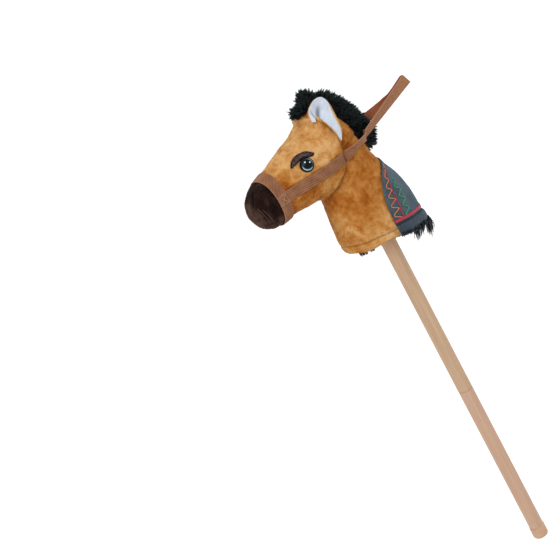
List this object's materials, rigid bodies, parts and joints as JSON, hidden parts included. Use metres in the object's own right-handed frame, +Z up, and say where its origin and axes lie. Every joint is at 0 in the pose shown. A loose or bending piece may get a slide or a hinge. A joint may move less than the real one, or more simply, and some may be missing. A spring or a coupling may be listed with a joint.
{
  "type": "hobby horse",
  "caption": "Stuffed plush horse head with mane, webbing bridle, reins and a fringed cloth blanket, on a wooden pole that comes apart at a spigot joint.",
  "frame": {"origin": "middle of the pole's foot face", "axes": "+Z up along the pole, the horse faces -Y, +X is the horse's left side"},
  "size_m": [0.1399, 0.402, 0.984],
  "materials": {
    "pole_lower": "sanded beech",
    "pole_upper": "sanded beech",
    "pole_spigot": "sanded beech",
    "pole_top_cap": "moulded",
    "foot_cap": "moulded, satin",
    "neck_panel_left": "short plush",
    "neck_panel_right": "short plush",
    "neck_base_panel": "short plush",
    "neck_board": "pressed board",
    "neck_stuffing": "polyester fibre",
    "head_panel_left": "short plush",
    "head_panel_right": "short plush",
    "muzzle_cover": "short plush",
    "head_stuffing": "polyester fibre",
    "eye_left": "polished",
    "eye_right": "polished",
    "eye_washer_left": "moulded",
    "eye_washer_right": "moulded",
    "brow_left": "short plush",
    "brow_right": "short plush",
    "ear_left": "short plush",
    "ear_right": "short plush",
    "ear_lining_left": "smooth velour",
    "ear_lining_right": "smooth velour",
    "mane": "long pile",
    "forelock": "long pile",
    "noseband": "woven webbing",
    "cheek_strap_left": "woven webbing",
    "cheek_strap_right": "woven webbing",
    "rein_end_left": "woven webbing",
    "rein_end_right": "woven webbing",
    "reins": "woven webbing",
    "blanket": "felt",
    "blanket_hem": "felt",
    "blanket_ribbon": "satin ribbon",
    "blanket_fringe": "cut yarn",
    "braid_orange_near": "braid",
    "braid_orange_far": "braid",
    "braid_red_near": "braid",
    "braid_red_far": "braid",
    "braid_green_near": "braid",
    "braid_green_far": "braid"
  },
  "bodies": {
    "horse": {"pole_upper": "pole_upper", "pole_spigot": "pole_spigot", "pole_top_cap": "pole_top_cap", "neck_panel_left": "neck_panel_left", "neck_panel_right": "neck_panel_right", "neck_base_panel": "neck_base_panel", "neck_board": "neck_board", "neck_stuffing": "neck_stuffing", "head_panel_left": "head_panel_left", "head_panel_right": "head_panel_right", "muzzle_cover": "muzzle_cover", "head_stuffing": "head_stuffing", "eye_left": "eye_left", "eye_right": "eye_right", "eye_washer_left": "eye_washer_left", "eye_washer_right": "eye_washer_right", "brow_left": "brow_left", "brow_right": "brow_right", "ear_left": "ear_left", "ear_right": "ear_right", "ear_lining_left": "ear_lining_left", "ear_lining_right": "ear_lining_right", "mane": "mane", "forelock": "forelock", "noseband": "noseband", "cheek_strap_left": "cheek_strap_left", "cheek_strap_right": "cheek_strap_right", "rein_end_left": "rein_end_left", "rein_end_right": "rein_end_right", "blanket": "blanket", "blanket_hem": "blanket_hem", "blanket_ribbon": "blanket_ribbon", "blanket_fringe": "blanket_fringe", "braid_orange_near": "braid_orange_near", "braid_orange_far": "braid_orange_far", "braid_red_near": "braid_red_near", "braid_red_far": "braid_red_far", "braid_green_near": "braid_green_near", "braid_green_far": "braid_green_far"},
    "lower_pole": {"pole_lower": "pole_lower", "foot_cap": "foot_cap"},
    "reins": {"reins": "reins"}
  },
  "joints": [
    {"name": "pole_pull_apart", "type": "slide", "parent": "horse", "child": "lower_pole", "axis": [0, 0, -1], "range_m": [0, 0.05]},
    {"name": "reins_swing", "type": "hinge", "parent": "horse", "child": "reins", "pos_m": [0, 0.036, 0.858], "axis": [1, 0, 0], "range_deg": [-45, 45], "stiffness_Nm_per_rad": 0.05, "springref_deg": 3.15}
  ]
}
